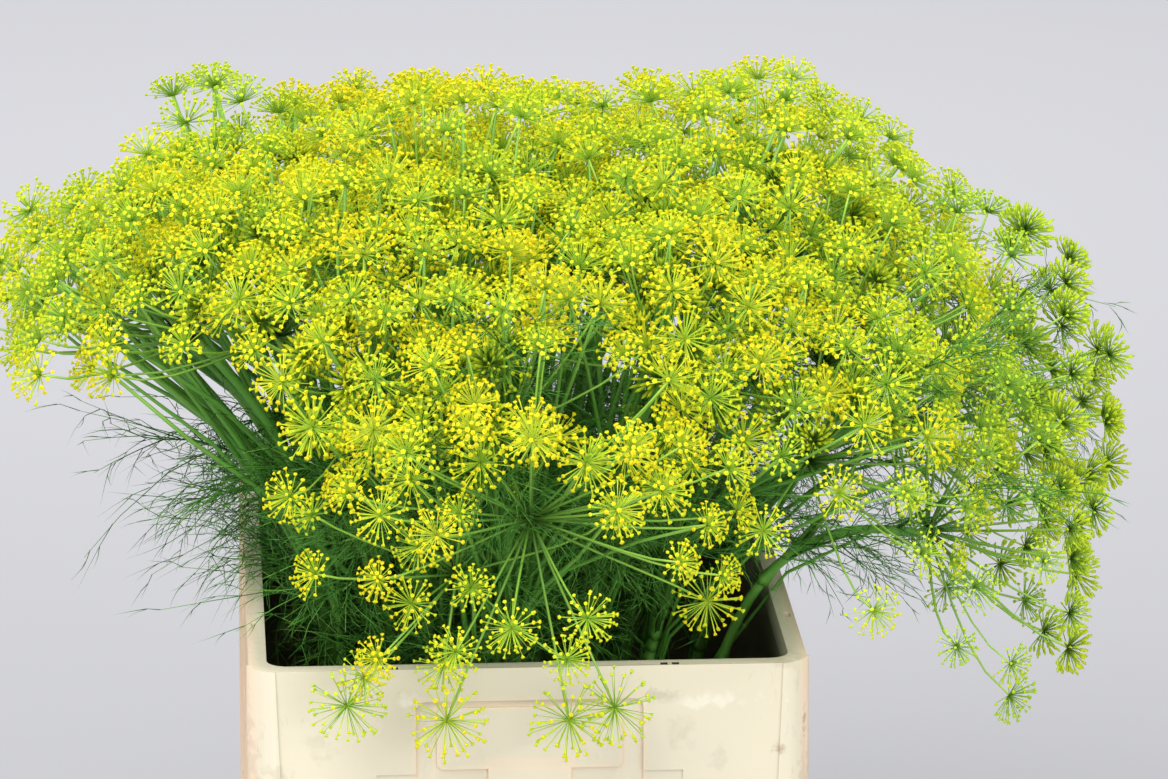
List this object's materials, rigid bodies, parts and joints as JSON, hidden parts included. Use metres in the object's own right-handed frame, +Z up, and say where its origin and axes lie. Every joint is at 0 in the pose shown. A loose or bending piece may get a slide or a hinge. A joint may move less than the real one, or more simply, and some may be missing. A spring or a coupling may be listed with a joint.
{
  "type": "dill bunch",
  "caption": "Bunch of flowering dill with flat yellow flower heads on long green stems and thread-like leaves, standing in water in an oblong cream plastic flower tub.",
  "frame": {"origin": "middle of the underside of the tub", "axes": "+Z up, -Y towards the front (the short side with the T-shaped pad), +X to the right"},
  "size_m": [0.6455, 0.6228, 0.654],
  "materials": {
    "tub_plastic": "cream polypropylene, scuffed",
    "vase_water": "still water",
    "dill_stem": "fresh green stem and leaf, satin",
    "dill_flower": "yellow florets on lime stalks, matt"
  },
  "bodies": {
    "root": {"tub": "tub_plastic", "water": "vase_water", "stem_01": "dill_stem", "umbel_01": "dill_flower", "stem_02": "dill_stem", "umbel_02": "dill_flower", "stem_03": "dill_stem", "umbel_03": "dill_flower", "stem_04": "dill_stem", "umbel_04": "dill_flower", "stem_05": "dill_stem", "umbel_05": "dill_flower", "stem_06": "dill_stem", "umbel_06": "dill_flower", "stem_07": "dill_stem", "umbel_07": "dill_flower", "stem_08": "dill_stem", "umbel_08": "dill_flower", "stem_09": "dill_stem", "umbel_09": "dill_flower", "stem_10": "dill_stem", "umbel_10": "dill_flower", "stem_11": "dill_stem", "umbel_11": "dill_flower", "stem_12": "dill_stem", "umbel_12": "dill_flower", "stem_13": "dill_stem", "umbel_13": "dill_flower", "stem_14": "dill_stem", "umbel_14": "dill_flower", "stem_15": "dill_stem", "umbel_15": "dill_flower", "stem_16": "dill_stem", "umbel_16": "dill_flower", "stem_17": "dill_stem", "umbel_17": "dill_flower", "stem_18": "dill_stem", "umbel_18": "dill_flower", "stem_19": "dill_stem", "umbel_19": "dill_flower", "stem_20": "dill_stem", "umbel_20": "dill_flower", "stem_21": "dill_stem", "umbel_21": "dill_flower", "stem_22": "dill_stem", "umbel_22": "dill_flower", "stem_23": "dill_stem", "umbel_23": "dill_flower", "stem_24": "dill_stem", "umbel_24": "dill_flower", "stem_25": "dill_stem", "umbel_25": "dill_flower", "stem_26": "dill_stem", "umbel_26": "dill_flower", "stem_27": "dill_stem", "umbel_27": "dill_flower", "stem_28": "dill_stem", "umbel_28": "dill_flower"}
  },
  "joints": []
}
